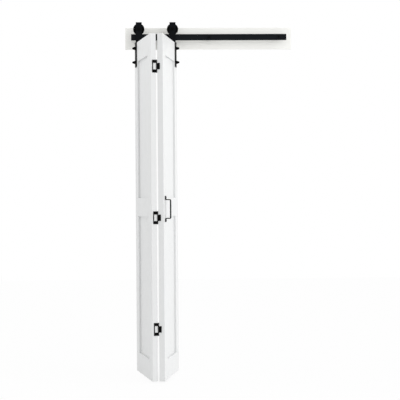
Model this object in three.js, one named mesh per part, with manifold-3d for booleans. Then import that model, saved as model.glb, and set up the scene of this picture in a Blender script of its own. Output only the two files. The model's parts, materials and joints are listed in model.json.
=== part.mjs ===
// A two-panel bifold closet door that hangs from a flat track, folded and parked at the track's left end.
// Millimetres, +Z up. The origin is the centre of the header board's back face, which lies on the wall.
// +X runs to the right along the track, and the front of the closet faces -Y.
// Each panel is drawn closed and flat round its own pivot, and the groups fold it to the parked pose.

import * as THREE from 'three';
import { mergeVertices } from 'three/addons/utils/BufferGeometryUtils.js';
import Module from 'manifold-3d';

const wasm = await Module();
wasm.setup();

// Clearances and facets
const fit = 0.3;
const overrun = 2;
const weldReach = 1e-4;
const fineSteps = 40;
const roundSteps = 20;
const smallSteps = 12;
const bendSteps = 4;

// Track, and the header board that overhangs it at both ends
const rail = { length: 1012, height: 40, thickness: 6, easedEdge: 0.6, boltInset: 51 };
const header = { overhang: 39, height: 142, thickness: 19, easedEdge: 1.5, boltSkin: 2 };
const spacer = { radius: 11, length: 56 };
const lag = { shankRadius: 4, headRadius: 7.5, headHeight: 5, headEdge: 1, socketRadius: 3.5, socketDepth: 3 };

// Grooved wheel and its bearing
const wheel = {
  treadRadius: 32,
  flangeRadius: 36.5,
  thickness: 22,
  grooveClearance: 1,
  grooveFlare: 2.5,
  rimDepth: 8,
  webSink: 4,
  hubRadius: 17,
  hubSink: 2,
  edge: 1,
  lip: 1.5,
};
const bearing = { radius: 11, width: 7, ringWall: 2, shieldSink: 0.6 };
const axle = {
  radius: 6,
  stemRadius: 4,
  headFlats: 19,
  headHeight: 6,
  nutFlats: 13,
  nutHeight: 6.5,
  tailLength: 2,
};

// Hanger strap, which bends back under the track and holds the pivot pin
const hanger = {
  width: 39,
  thickness: 6,
  rise: 43.5,
  wheelGap: 1,
  railGap: 2.5,
  footReach: 18,
  bendRadius: 3,
  corner: 1,
};
const pin = { radius: 6, headRadius: 10, headHeight: 6, rivetRadius: 8.5, rivetHeight: 1.4, pocketGap: 1 };
const washer = { radius: 11, thickness: 1.4 };

// Door panels
const panel = {
  width: 457.2,
  height: 2134,
  thickness: 35,
  stileWidth: 82.5,
  topRail: 124.5,
  midRail: 118,
  midRailDrop: 1008,
  bottomRail: 124.5,
  coreThickness: 13,
  grooveDepth: 10,
  corePlay: 1.5,
  easedEdge: 1.5,
  pivotInset: 51,
};

// Face strap that carries a panel, with its two through bolts and cap nuts
const bracket = {
  width: 39,
  thickness: 5,
  length: 160,
  flangeReach: 14,
  bendRadius: 0.8,
  corner: 3,
  upperBoltDrop: 37.2,
  lowerBoltDrop: 128.1,
};
const strapBolt = { radius: 5, headRadius: 11, headHeight: 5, rimHeight: 1.2, nutEngagement: 10 };
const capNut = {
  flangeRadius: 12,
  flangeHeight: 3,
  flats: 17,
  hexHeight: 8,
  domeRadius: 8,
  domeHeight: 11,
  boreDepth: 12,
};

// Non-mortise hinges between the panels
const hinge = {
  gap: 3,
  standoff: 4.2,
  height: 78,
  frameWidth: 23.6,
  frameBar: 5,
  frameBand: 18.8,
  tabHeight: 39,
  tabWidth: 16,
  thickness: 2.2,
  corner: 2,
  barrelRadius: 3.6,
  barrelGap: 0.5,
  pinRadius: 2,
  pinHeadRadius: 3,
  pinHeadHeight: 1.4,
  screwRadius: 2.2,
  screwHeadRadius: 4,
  tabScrewSpread: 10,
  topDrop: 202,
  midRailOffset: 64,
  bottomRise: 319,
};

// Pull handle, a bent flat strip on the right panel
const pull = {
  width: 16,
  thickness: 6,
  span: 115,
  footLength: 23.2,
  projection: 37,
  bendRadius: 3,
  corner: 3,
  edgeInset: 41,
  midRailOffset: 11,
  screwRadius: 2,
  screwLength: 20,
  screwHeadRadius: 4.5,
  screwHeadHeight: 2.4,
};

// Parked pose: the left pivot's distance from the track's end, and how far each panel has turned from closed
const parkedInset = 50.5;
const parkedTurn = THREE.MathUtils.degToRad(77.5);

// Places along the track, measured from the wall
const railBack = -(header.thickness + spacer.length);
const railMiddle = railBack - rail.thickness / 2;
const railFront = railBack - rail.thickness;
const railTop = rail.height / 2;
const railEnd = rail.length / 2;
const headerEnd = railEnd + header.overhang;
const parkedX = parkedInset - railEnd;
const boltPlaces = { left: rail.boltInset - railEnd, middle: 0, right: railEnd - rail.boltInset };
const wheelZ = railTop + wheel.treadRadius + fit;

// The hanging stack under the track, from the hanger's foot down to the door's top
const footTop = -rail.height / 2 - hanger.railGap;
const footBottom = footTop - hanger.thickness;
const washerTop = footBottom - fit;
const washerBottom = washerTop - washer.thickness;
const flangeTop = washerBottom - fit;
const flangeBottom = flangeTop - bracket.thickness;
const doorTop = flangeBottom - fit;
const doorBottom = doorTop - panel.height;

// Panel heights
const midRailTop = doorTop - panel.midRailDrop;
const midRailBottom = midRailTop - panel.midRail;
const midRailCentre = (midRailTop + midRailBottom) / 2;
const topRailBottom = doorTop - panel.topRail;
const bottomRailTop = doorBottom + panel.bottomRail;

// A panel in its pivot's frame: its pivot edge, its hinge edge and the hinge axis
const halfPanel = panel.thickness / 2;
const pivotEdge = -panel.pivotInset;
const hingeEdge = panel.width - panel.pivotInset;
const hingeArm = hingeEdge + hinge.gap / 2;
const hingeSetback = halfPanel + hinge.standoff;
const hingeHeights = {
  upper: doorTop - hinge.topDrop,
  middle: midRailCentre - hinge.midRailOffset,
  lower: doorBottom + hinge.bottomRise,
};

// Materials
const paint = new THREE.MeshStandardMaterial({ color: 0xf2f2f2, roughness: 0.5, metalness: 0 });
const blackCoat = new THREE.MeshStandardMaterial({ color: 0x1c1c1e, roughness: 0.55, metalness: 0.3 });
const blackWheel = new THREE.MeshStandardMaterial({ color: 0x141416, roughness: 0.45, metalness: 0 });
const steel = new THREE.MeshStandardMaterial({ color: 0xa8aab0, roughness: 0.35, metalness: 1 });

// Merges a geometry's shared points and drops the slivers that close up at its poles.
function weld(geometry) {
  const bare = new THREE.BufferGeometry();
  bare.setAttribute('position', geometry.getAttribute('position'));
  bare.setIndex(geometry.getIndex());
  const merged = mergeVertices(bare, weldReach);
  const corners = merged.getIndex().array;
  const kept = [];
  for (let i = 0; i < corners.length; i += 3) {
    const [a, b, c] = [corners[i], corners[i + 1], corners[i + 2]];
    if (a !== b && b !== c && c !== a) kept.push(a, b, c);
  }
  merged.setIndex(new THREE.BufferAttribute(new Uint32Array(kept), 1));
  return merged;
}

// Turns a closed geometry into a solid that can be joined and cut.
function solidOf(geometry) {
  const welded = weld(geometry);
  const vertProperties = welded.getAttribute('position').array;
  const triVerts = welded.getIndex().array;
  return new wasm.Manifold(new wasm.Mesh({ numProp: 3, vertProperties, triVerts }));
}

// Turns a solid back into a geometry.
function geometryOf(body) {
  const mesh = body.getMesh();
  const geometry = new THREE.BufferGeometry();
  geometry.setAttribute('position', new THREE.BufferAttribute(new Float32Array(mesh.vertProperties), 3));
  geometry.setIndex(new THREE.BufferAttribute(new Uint32Array(mesh.triVerts), 1));
  return geometry;
}

function join(first, ...others) {
  return geometryOf(others.reduce((body, other) => body.add(solidOf(other)), solidOf(first)));
}

function cut(first, ...tools) {
  return geometryOf(tools.reduce((body, tool) => body.subtract(solidOf(tool)), solidOf(first)));
}

function common(first, ...others) {
  return geometryOf(others.reduce((body, other) => body.intersect(solidOf(other)), solidOf(first)));
}

function outline(points) {
  return new THREE.Shape(points.map(([u, v]) => new THREE.Vector2(u, v)));
}

const xAxis = new THREE.Vector3(1, 0, 0);
const yAxis = new THREE.Vector3(0, 1, 0);
const zAxis = new THREE.Vector3(0, 0, 1);

function extrude(shape, depth) {
  return new THREE.ExtrudeGeometry(shape, { depth, bevelEnabled: false, curveSegments: bendSteps });
}

// Extrudes a shape drawn in Y and Z from one X to another.
function alongX(shape, from, to) {
  const turn = new THREE.Matrix4().makeBasis(yAxis, zAxis, xAxis);
  return extrude(shape, to - from).applyMatrix4(turn).translate(from, 0, 0);
}

// Extrudes a shape drawn in X and Z from a back Y to a front Y.
function alongY(shape, back, front) {
  const turn = new THREE.Matrix4().makeBasis(xAxis, zAxis, yAxis.clone().negate());
  return extrude(shape, back - front).applyMatrix4(turn).translate(0, back, 0);
}

// Extrudes a shape drawn in X and Y from one Z to another.
function alongZ(shape, from, to) {
  return extrude(shape, to - from).translate(0, 0, from);
}

// A block between two corners.
function block([x0, y0, z0], [x1, y1, z1]) {
  return new THREE.BoxGeometry(x1 - x0, y1 - y0, z1 - z0)
    .translate((x0 + x1) / 2, (y0 + y1) / 2, (z0 + z1) / 2);
}

// A round or polygonal bar from one place to another, along Y or upright along Z.
function barY(radius, from, to, steps = roundSteps) {
  return new THREE.CylinderGeometry(radius, radius, to - from, steps).translate(0, (from + to) / 2, 0);
}

function barZ(radius, from, to, steps = roundSteps) {
  return barY(radius, from, to, steps).rotateX(Math.PI / 2);
}

// Solids of revolution. A profile is a list of radius and height, with its material on the left.
function turnedY(points, steps = roundSteps) {
  return new THREE.LatheGeometry(points.map(([r, h]) => new THREE.Vector2(r, h)), steps);
}

function turnedZ(points, steps = roundSteps) {
  return turnedY(points, steps).rotateX(Math.PI / 2);
}

// The radius to a hexagon's corners, from its size across the flats.
function hexRadius(flats) {
  return flats / Math.sqrt(3);
}

// The outline of a flat strip seen edge on, whose centre line turns square at each inner corner.
function bentStrip(corners, thickness, innerRadius) {
  const radius = innerRadius + thickness / 2;
  const points = corners.map(([u, v]) => new THREE.Vector2(u, v));
  const last = points.length - 1;
  const heading = (i) => points[i + 1].clone().sub(points[i]).normalize();
  const leftOf = (way) => new THREE.Vector2(-way.y, way.x);
  const stations = [{ at: points[0], left: leftOf(heading(0)) }];
  for (let i = 1; i < last; i += 1) {
    const way = heading(i - 1);
    const turn = Math.sign(way.cross(heading(i)));
    const start = points[i].clone().addScaledVector(way, -radius);
    const centre = start.addScaledVector(leftOf(way), turn * radius);
    for (let step = 0; step <= bendSteps; step += 1) {
      const angle = (turn * Math.PI * step) / (2 * bendSteps);
      const left = leftOf(way).rotateAround(new THREE.Vector2(), angle);
      stations.push({ at: centre.clone().addScaledVector(left, -turn * radius), left });
    }
  }
  stations.push({ at: points[last], left: leftOf(heading(last - 1)) });
  const side = (offset) => stations.map(({ at, left }) => at.clone().addScaledVector(left, offset));
  return new THREE.Shape([...side(thickness / 2), ...side(-thickness / 2).reverse()]);
}

// A strip's flat outline, straight at its root and with cut corners at its tip.
function tongue(width, root, tip, corner) {
  const half = width / 2;
  const way = Math.sign(tip - root);
  return outline([
    [-half, root],
    [half, root],
    [half, tip - way * corner],
    [half - corner, tip],
    [corner - half, tip],
    [-half, tip - way * corner],
  ]);
}

// A rectangle with its four corners cut by a small amount, centred on the origin.
function easedBox(width, height, edge) {
  const [u, v] = [width / 2, height / 2];
  return outline([
    [-u, edge - v], [edge - u, -v], [u - edge, -v], [u, edge - v],
    [u, v - edge], [u - edge, v], [edge - u, v], [-u, v - edge],
  ]);
}

function addMesh(group, name, geometry, material) {
  const welded = weld(geometry);
  welded.computeVertexNormals();
  const mesh = new THREE.Mesh(welded, material);
  mesh.name = name;
  group.add(mesh);
  return mesh;
}

function groupAt(parent, x, y, turn) {
  const group = new THREE.Group();
  group.position.set(x, y, 0);
  group.rotation.z = turn;
  parent.add(group);
  return group;
}

// The header board, with a blind hole for each bolt that stops short of its back face.
function headerBoard() {
  const board = alongX(easedBox(header.thickness, header.height, header.easedEdge), -headerEnd, headerEnd)
    .translate(0, -header.thickness / 2, 0);
  const bores = Object.values(boltPlaces).map((x) => (
    barY(lag.shankRadius + fit, -header.thickness - overrun, -header.boltSkin, smallSteps).translate(x, 0, 0)
  ));
  return cut(board, ...bores);
}

// The flat track, standing on its long edge.
function trackRail() {
  const bar = alongX(easedBox(rail.thickness, rail.height, rail.easedEdge), -railEnd, railEnd)
    .translate(0, railMiddle, 0);
  const bores = Object.values(boltPlaces).map((x) => (
    barY(lag.shankRadius + fit, railFront - overrun, railBack + overrun, smallSteps).translate(x, 0, 0)
  ));
  return cut(bar, ...bores);
}

// A tube between the header board and the track.
function railSpacer() {
  const [near, far] = [railBack + fit, -header.thickness - fit];
  const bore = lag.shankRadius + fit;
  return turnedY([[bore, near], [spacer.radius, near], [spacer.radius, far], [bore, far], [bore, near]]);
}

// A lag bolt with a low round head and a hexagon socket. Its end stops inside the header board.
function lagBolt() {
  const seat = railFront - fit;
  const face = seat - lag.headHeight;
  const bolt = turnedY([
    [0, face],
    [lag.headRadius - lag.headEdge, face],
    [lag.headRadius, face + lag.headEdge],
    [lag.headRadius, seat],
    [lag.shankRadius, seat],
    [lag.shankRadius, -header.boltSkin - fit - lag.shankRadius],
    [0, -header.boltSkin - fit],
  ]);
  return cut(bolt, barY(lag.socketRadius, face - overrun, face + lag.socketDepth, 6));
}

// The grooved wheel, bored for its bearing, with a lip in front of the bearing.
function grooveWheel() {
  const half = wheel.thickness / 2;
  const floor = rail.thickness / 2 + wheel.grooveClearance;
  const mouth = floor + wheel.grooveFlare;
  const rimInner = wheel.flangeRadius - wheel.rimDepth;
  const web = half - wheel.webSink;
  const hub = half - wheel.hubSink;
  const seat = bearing.radius + fit;
  const stop = bearing.width / 2 + fit;
  const rimBase = rimInner - wheel.edge;
  return turnedY([
    [seat, -stop],
    [seat - wheel.lip, -stop],
    [seat - wheel.lip, -hub],
    [wheel.hubRadius - wheel.edge, -hub],
    [wheel.hubRadius, -web],
    [rimBase, -web],
    [rimInner, -half],
    [wheel.flangeRadius - wheel.edge, -half],
    [wheel.flangeRadius, wheel.edge - half],
    [wheel.flangeRadius, -mouth],
    [wheel.treadRadius, -floor],
    [wheel.treadRadius, floor],
    [wheel.flangeRadius, mouth],
    [wheel.flangeRadius, half - wheel.edge],
    [wheel.flangeRadius - wheel.edge, half],
    [rimInner, half],
    [rimBase, web],
    [wheel.hubRadius, web],
    [wheel.hubRadius - wheel.edge, hub],
    [seat, hub],
    [seat, -stop],
  ], fineSteps);
}

// A shielded ball bearing: the two rings stand proud of the shields on both faces.
function ballBearing() {
  const half = bearing.width / 2;
  const bore = axle.stemRadius + fit;
  const inner = bore + bearing.ringWall;
  const outer = bearing.radius - bearing.ringWall;
  const shield = half - bearing.shieldSink;
  return turnedY([
    [bore, -half], [inner, -half], [inner, -shield], [outer, -shield], [outer, -half],
    [bearing.radius, -half], [bearing.radius, half],
    [outer, half], [outer, shield], [inner, shield], [inner, half], [bore, half], [bore, -half],
  ]);
}

// The strap's planes in the carriage's frame, where Y is zero on the track's middle.
const strapBack = -(wheel.thickness / 2 + hanger.wheelGap);
const strapFront = strapBack - hanger.thickness;
const strapTop = wheelZ + hanger.rise;

function hangerStrap() {
  const middle = (strapBack + strapFront) / 2;
  const sideView = bentStrip([
    [middle, strapTop],
    [middle, (footTop + footBottom) / 2],
    [hanger.footReach, (footTop + footBottom) / 2],
  ], hanger.thickness, hanger.bendRadius);
  const strip = alongX(sideView, -hanger.width / 2, hanger.width / 2);
  const frontView = alongY(
    tongue(hanger.width, footBottom - overrun, strapTop, hanger.corner),
    hanger.footReach + overrun,
    strapFront - overrun,
  );
  const topView = alongZ(
    tongue(hanger.width, strapFront - overrun, hanger.footReach, hanger.corner),
    footBottom - overrun,
    strapTop + overrun,
  );
  const axleHole = barY(axle.radius + fit, strapFront - overrun, strapBack + overrun).translate(0, 0, wheelZ);
  const pinHole = barZ(pin.radius + fit, footBottom - overrun, footTop + overrun);
  return cut(common(strip, frontView, topView), axleHole, pinHole);
}

// The axle bolt: a hexagon head before the strap, a shoulder up to the bearing and a thin stem through it.
function axleBolt() {
  const seat = strapFront - fit;
  const shoulder = -bearing.width / 2 - fit;
  const nutFar = bearing.width / 2 + fit + axle.nutHeight;
  const shank = turnedY([
    [0, seat - axle.headHeight / 2],
    [axle.radius, seat - axle.headHeight / 2],
    [axle.radius, shoulder],
    [axle.stemRadius, shoulder],
    [axle.stemRadius, nutFar + axle.tailLength],
    [0, nutFar + axle.tailLength],
  ]);
  return join(shank, barY(hexRadius(axle.headFlats), seat - axle.headHeight, seat, 6));
}

function axleNut() {
  const near = bearing.width / 2 + fit;
  const far = near + axle.nutHeight;
  const hexagon = barY(hexRadius(axle.nutFlats), near, far, 6);
  return cut(hexagon, barY(axle.stemRadius + fit, near - overrun, far + overrun, smallSteps));
}

// The pivot pin, riveted into the hanger's foot, with its head sunk in the door's top edge.
function pivotPin() {
  const rivetSeat = footTop + fit;
  const rivetTop = rivetSeat + pin.rivetHeight;
  const headTop = flangeBottom - fit;
  return turnedZ([
    [0, headTop - pin.headHeight],
    [pin.headRadius, headTop - pin.headHeight],
    [pin.headRadius, headTop],
    [pin.radius, headTop],
    [pin.radius, rivetSeat],
    [pin.rivetRadius, rivetSeat],
    [pin.rivetRadius - pin.rivetHeight, rivetTop],
    [0, rivetTop],
  ]);
}

function thrustWasher() {
  const bore = pin.radius + fit;
  return turnedZ([
    [bore, washerBottom], [washer.radius, washerBottom],
    [washer.radius, washerTop], [bore, washerTop], [bore, washerBottom],
  ]);
}

// One carriage: the hanger strap with its wheel, bearing, axle, pivot pin and washer.
function addCarriage(group, side) {
  addMesh(group, `${side}_hanger_strap`, hangerStrap(), blackCoat);
  const raised = [
    ['track_wheel', grooveWheel(), blackWheel],
    ['wheel_bearing', ballBearing(), steel],
    ['axle_bolt', axleBolt(), blackCoat],
    ['axle_nut', axleNut(), blackCoat],
  ];
  for (const [name, geometry, material] of raised) {
    addMesh(group, `${side}_${name}`, geometry, material).position.z = wheelZ;
  }
  addMesh(group, `${side}_pivot_pin`, pivotPin(), blackCoat);
  addMesh(group, `${side}_thrust_washer`, thrustWasher(), steel);
}

// The face strap: it bends back over the door's top edge, where the pivot pin's head holds it.
function doorBracket() {
  const middle = -halfPanel - fit - bracket.thickness / 2;
  const front = middle - bracket.thickness / 2;
  const bottom = doorTop - bracket.length;
  const sideView = bentStrip([
    [middle, bottom],
    [middle, (flangeTop + flangeBottom) / 2],
    [bracket.flangeReach, (flangeTop + flangeBottom) / 2],
  ], bracket.thickness, bracket.bendRadius);
  const strip = alongX(sideView, -bracket.width / 2, bracket.width / 2);
  const frontView = alongY(
    tongue(bracket.width, flangeTop + overrun, bottom, bracket.corner),
    bracket.flangeReach + overrun,
    front - overrun,
  );
  const bolts = strapBoltHeights().map((z) => (
    barY(strapBolt.radius + fit, front - overrun, -halfPanel + overrun).translate(0, 0, z)
  ));
  const pinHole = barZ(pin.radius + fit, flangeBottom - overrun, flangeTop + overrun);
  return cut(common(strip, frontView), pinHole, ...bolts);
}

function strapBoltHeights() {
  return [doorTop - bracket.upperBoltDrop, doorTop - bracket.lowerBoltDrop];
}

// Where a cap nut's flat side meets the face strap, and where a through bolt's head meets the wood.
const nutSeat = -(halfPanel + fit + bracket.thickness + fit);
const boltSeat = halfPanel + fit;

function throughBolt() {
  const end = nutSeat - strapBolt.nutEngagement;
  const { radius, headRadius, headHeight, rimHeight } = strapBolt;
  const crown = headRadius / 2;
  return turnedY([
    [0, end],
    [radius, end],
    [radius, boltSeat],
    [headRadius, boltSeat],
    [headRadius, boltSeat + rimHeight],
    [(headRadius + crown) / 2, boltSeat + (rimHeight + headHeight) / 2],
    [crown, boltSeat + headHeight],
    [0, boltSeat + headHeight],
  ]);
}

// A cap nut: a washer face, a hexagon and a tall dome, drilled blind for the bolt.
function domedNut() {
  const hexFar = nutSeat - capNut.flangeHeight - capNut.hexHeight;
  const dome = [[0, hexFar - capNut.domeHeight]];
  for (let step = 1; step <= bendSteps; step += 1) {
    const angle = (Math.PI * step) / (2 * bendSteps);
    dome.push([capNut.domeRadius * Math.sin(angle), hexFar - capNut.domeHeight * Math.cos(angle)]);
  }
  const crown = turnedY([
    ...dome,
    [capNut.domeRadius, nutSeat - capNut.flangeHeight / 2],
    [0, nutSeat - capNut.flangeHeight / 2],
  ]);
  const hexagon = barY(hexRadius(capNut.flats), hexFar, nutSeat - capNut.flangeHeight / 2, 6);
  const flange = barY(capNut.flangeRadius, nutSeat - capNut.flangeHeight, nutSeat);
  const bore = barY(strapBolt.radius + fit, nutSeat - capNut.boreDepth, nutSeat + overrun, smallSteps);
  return cut(join(flange, hexagon, crown), bore);
}

// A stile's section, eased on its two outer corners and grooved along its inner edge.
function stileSection(outer, inner) {
  const way = Math.sign(inner - outer);
  const groove = panel.coreThickness / 2 + fit;
  const floor = inner - way * panel.grooveDepth;
  const eased = way * panel.easedEdge;
  return outline([
    [outer + eased, -halfPanel], [inner, -halfPanel], [inner, -groove], [floor, -groove],
    [floor, groove], [inner, groove], [inner, halfPanel], [outer + eased, halfPanel],
    [outer, halfPanel - panel.easedEdge], [outer, panel.easedEdge - halfPanel],
  ]);
}

// A rail with grooved inner edges and a stub tenon on each end that fills the stiles' grooves.
function frameRail(x0, x1, bottom, top, grooved) {
  const half = panel.coreThickness / 2;
  const [low, high] = [
    bottom + (grooved.bottom ? panel.grooveDepth : 0),
    top - (grooved.top ? panel.grooveDepth : 0),
  ];
  const body = block([x0, -halfPanel, bottom], [x1, halfPanel, top]);
  const tenon = panel.grooveDepth - fit;
  const tongues = block([x0 - tenon, -half, low], [x1 + tenon, half, high]);
  const channel = (from, to) => block([x0 - overrun, -half - fit, from], [x1 + overrun, half + fit, to]);
  const channels = [];
  if (grooved.bottom) channels.push(channel(bottom - overrun, low));
  if (grooved.top) channels.push(channel(high, top + overrun));
  return join(cut(body, ...channels), tongues);
}

// A flat panel whose edges stand in the frame's grooves with room to swell.
function corePanel(x0, x1, bottom, top) {
  const half = panel.coreThickness / 2;
  const tuck = panel.grooveDepth - panel.corePlay;
  const section = easedBox(x1 - x0 + 2 * tuck, panel.coreThickness, panel.corePlay);
  return alongZ(section, bottom - tuck, top + tuck).translate((x0 + x1) / 2, 0, 0);
}

// One panel in its pivot's frame. The left one reaches towards +X and the right one towards -X.
function addPanel(group, side, reach) {
  const stileInner = { pivot: pivotEdge + panel.stileWidth, hinge: hingeEdge - panel.stileWidth };
  const stile = (outer, inner) => alongZ(stileSection(reach * outer, reach * inner), doorBottom, doorTop);
  const boltHoles = strapBoltHeights().map((z) => (
    barY(strapBolt.radius + fit, -halfPanel - overrun, halfPanel + overrun, smallSteps).translate(0, 0, z)
  ));
  const pocketFloor = flangeBottom - fit - pin.headHeight - pin.pocketGap;
  const pocket = barZ(pin.headRadius + pin.pocketGap, pocketFloor, doorTop + overrun);
  addMesh(group, `${side}_pivot_stile`, cut(stile(pivotEdge, stileInner.pivot), pocket, ...boltHoles), paint);

  const screwHoles = side === 'right' ? pullScrewHeights().map((z) => (
    barY(pull.screwRadius + fit, -halfPanel - overrun, pullScrewEnd() + fit, smallSteps)
      .translate(pullX(), 0, z)
  )) : [];
  addMesh(group, `${side}_hinge_stile`, cut(stile(hingeEdge, stileInner.hinge), ...screwHoles), paint);

  const ends = [reach * (stileInner.pivot + fit), reach * (stileInner.hinge - fit)].sort((a, b) => a - b);
  const rails = {
    top: [topRailBottom, doorTop, { bottom: true, top: false }],
    middle: [midRailBottom, midRailTop, { bottom: true, top: true }],
    bottom: [doorBottom, bottomRailTop, { bottom: false, top: true }],
  };
  for (const [name, [low, high, grooved]] of Object.entries(rails)) {
    addMesh(group, `${side}_${name}_rail`, frameRail(...ends, low, high, grooved), paint);
  }
  addMesh(group, `${side}_upper_panel`, corePanel(...ends, midRailTop, topRailBottom), paint);
  addMesh(group, `${side}_lower_panel`, corePanel(...ends, bottomRailTop, midRailBottom), paint);

  addMesh(group, `${side}_face_strap`, doorBracket(), blackCoat);
  const [upper, lower] = strapBoltHeights();
  for (const [level, z] of Object.entries({ upper, lower })) {
    addMesh(group, `${side}_${level}_strap_bolt`, throughBolt(), blackCoat).position.z = z;
    addMesh(group, `${side}_${level}_cap_nut`, domedNut(), blackCoat).position.z = z;
  }
}

// A hinge is drawn closed round its barrel: the panels' ends stand at half the gap to each side,
// and their back faces lie a standoff before the barrel's axis.
const hingeHalf = hinge.height / 2;
const cutOutHalf = hingeHalf - hinge.frameBand;

function barrelBore() {
  return barZ(hinge.pinRadius + fit, -hingeHalf - overrun, hingeHalf + overrun, smallSteps);
}

// A countersunk screw hole through a leaf, with its wide mouth towards `way` on the X axis.
function screwHole(way, y, z) {
  const depth = hinge.screwHeadRadius - hinge.screwRadius;
  const face = hinge.gap / 2 - fit - hinge.thickness;
  return turnedY([
    [0, -overrun],
    [hinge.screwHeadRadius + overrun, -overrun],
    [hinge.screwRadius, depth],
    [hinge.screwRadius, hinge.thickness + overrun],
    [0, hinge.thickness + overrun],
  ], smallSteps).rotateZ(way * Math.PI / 2).translate(-way * face, y, z);
}

// The frame leaf, open in its middle for the tab, with a knuckle at its top and its bottom.
function frameLeaf() {
  const tip = -(hinge.standoff + hinge.frameWidth);
  const floor = tip + hinge.frameBar;
  const { corner } = hinge;
  const face = outline([
    [0, hingeHalf], [tip + corner, hingeHalf], [tip, hingeHalf - corner],
    [tip, corner - hingeHalf], [tip + corner, -hingeHalf], [0, -hingeHalf],
    [0, -cutOutHalf], [floor + corner, -cutOutHalf], [floor, corner - cutOutHalf],
    [floor, cutOutHalf - corner], [floor + corner, cutOutHalf], [0, cutOutHalf],
  ]);
  const wood = -hinge.gap / 2 + fit;
  const plate = alongX(face, wood, wood + hinge.thickness);
  const knuckles = [[-hingeHalf, -cutOutHalf], [cutOutHalf, hingeHalf]].map(([low, high]) => (
    barZ(hinge.barrelRadius, low, high, smallSteps)
  ));
  const screwY = -(hinge.standoff + hinge.frameWidth / 2);
  const screwZ = (hingeHalf + cutOutHalf) / 2;
  const holes = [screwHole(-1, screwY, -screwZ), screwHole(-1, screwY, screwZ)];
  return cut(join(plate, ...knuckles), barrelBore(), ...holes);
}

// The tab leaf, which folds into the frame leaf's opening and turns on the middle knuckle.
function tabLeaf() {
  const tip = -(hinge.standoff + hinge.tabWidth);
  const half = hinge.tabHeight / 2;
  const { corner } = hinge;
  const face = outline([
    [0, half], [tip + corner, half], [tip, half - corner],
    [tip, corner - half], [tip + corner, -half], [0, -half],
  ]);
  const wood = hinge.gap / 2 - fit;
  const plate = alongX(face, wood - hinge.thickness, wood);
  const knuckle = barZ(hinge.barrelRadius, hinge.barrelGap - cutOutHalf, cutOutHalf - hinge.barrelGap, smallSteps);
  const screwY = -(hinge.standoff + hinge.tabWidth / 2);
  const holes = [-1, 1].map((end) => screwHole(1, screwY, end * hinge.tabScrewSpread));
  return cut(join(plate, knuckle), barrelBore(), ...holes);
}

function hingePin() {
  const { pinRadius, pinHeadRadius, pinHeadHeight } = hinge;
  const seat = hingeHalf + fit;
  const end = seat + pinHeadHeight;
  return turnedZ([
    [0, -end], [pinRadius, -end], [pinHeadRadius, -seat], [pinRadius, -seat],
    [pinRadius, seat], [pinHeadRadius, seat], [pinRadius, end], [0, end],
  ], smallSteps);
}

// Places of the pull handle in the right panel's pivot frame.
function pullX() {
  return -(hingeEdge - pull.edgeInset);
}

function pullCentre() {
  return midRailCentre - pull.midRailOffset;
}

function pullScrewHeights() {
  const reach = (pull.span + pull.footLength) / 2;
  return [pullCentre() - reach, pullCentre() + reach];
}

function pullScrewEnd() {
  return pull.screwLength - pull.thickness - halfPanel;
}

function pullHandle() {
  const foot = -halfPanel - fit - pull.thickness / 2;
  const grip = -halfPanel - pull.projection + pull.thickness / 2;
  const [half, reach] = [pull.span / 2, pull.span / 2 + pull.footLength];
  const sideView = bentStrip([
    [foot, -reach], [foot, -half], [grip, -half], [grip, half], [foot, half], [foot, reach],
  ], pull.thickness, pull.bendRadius);
  const strip = alongX(sideView, -pull.width / 2, pull.width / 2);
  const faceOutline = easedBox(pull.width, 2 * reach, pull.corner);
  const frontView = alongY(faceOutline, -halfPanel + overrun, grip - pull.thickness - overrun);
  const holes = pullScrewHeights().map((z) => (
    barY(pull.screwRadius + fit, foot - pull.thickness, -halfPanel + overrun, smallSteps)
      .translate(0, 0, z - pullCentre())
  ));
  return cut(common(strip, frontView), ...holes);
}

function pullScrew() {
  const seat = -halfPanel - fit - pull.thickness - fit;
  const { screwRadius, screwHeadRadius, screwHeadHeight } = pull;
  return turnedY([
    [0, seat - screwHeadHeight],
    [screwHeadRadius / 2, seat - screwHeadHeight],
    [screwHeadRadius, seat - screwHeadHeight / 3],
    [screwHeadRadius, seat],
    [screwRadius, seat],
    [screwRadius, pullScrewEnd() - screwRadius],
    [0, pullScrewEnd()],
  ], smallSteps);
}

// The assembly
const door = new THREE.Group();
door.name = 'bifold_closet_door';

addMesh(door, 'header_board', headerBoard(), paint);
addMesh(door, 'track_rail', trackRail(), blackCoat);
for (const [side, x] of Object.entries(boltPlaces)) {
  addMesh(door, `${side}_rail_spacer`, railSpacer(), blackCoat).position.x = x;
  addMesh(door, `${side}_lag_bolt`, lagBolt(), blackCoat).position.x = x;
}

const leftHanger = groupAt(door, parkedX, railMiddle, 0);
addCarriage(leftHanger, 'left');

const leftPanel = groupAt(leftHanger, 0, 0, -parkedTurn);
addPanel(leftPanel, 'left', 1);

const hingeLine = groupAt(leftPanel, hingeArm, hingeSetback, 0);
const foldedSide = groupAt(hingeLine, 0, 0, 2 * parkedTurn);
for (const [level, z] of Object.entries(hingeHeights)) {
  addMesh(hingeLine, `${level}_hinge_frame_leaf`, frameLeaf(), blackCoat).position.z = z;
  addMesh(hingeLine, `${level}_hinge_pin`, hingePin(), blackCoat).position.z = z;
  addMesh(foldedSide, `${level}_hinge_tab_leaf`, tabLeaf(), blackCoat).position.z = z;
}

const rightPanel = groupAt(foldedSide, hingeArm, -hingeSetback, 0);
addPanel(rightPanel, 'right', -1);
addMesh(rightPanel, 'pull_handle', pullHandle(), blackCoat).position.set(pullX(), 0, pullCentre());
const [lowerScrewZ, upperScrewZ] = pullScrewHeights();
for (const [level, z] of Object.entries({ upper: upperScrewZ, lower: lowerScrewZ })) {
  addMesh(rightPanel, `${level}_pull_screw`, pullScrew(), blackCoat).position.set(pullX(), 0, z);
}

const rightHanger = groupAt(rightPanel, 0, 0, -parkedTurn);
addCarriage(rightHanger, 'right');

export default door;
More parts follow.
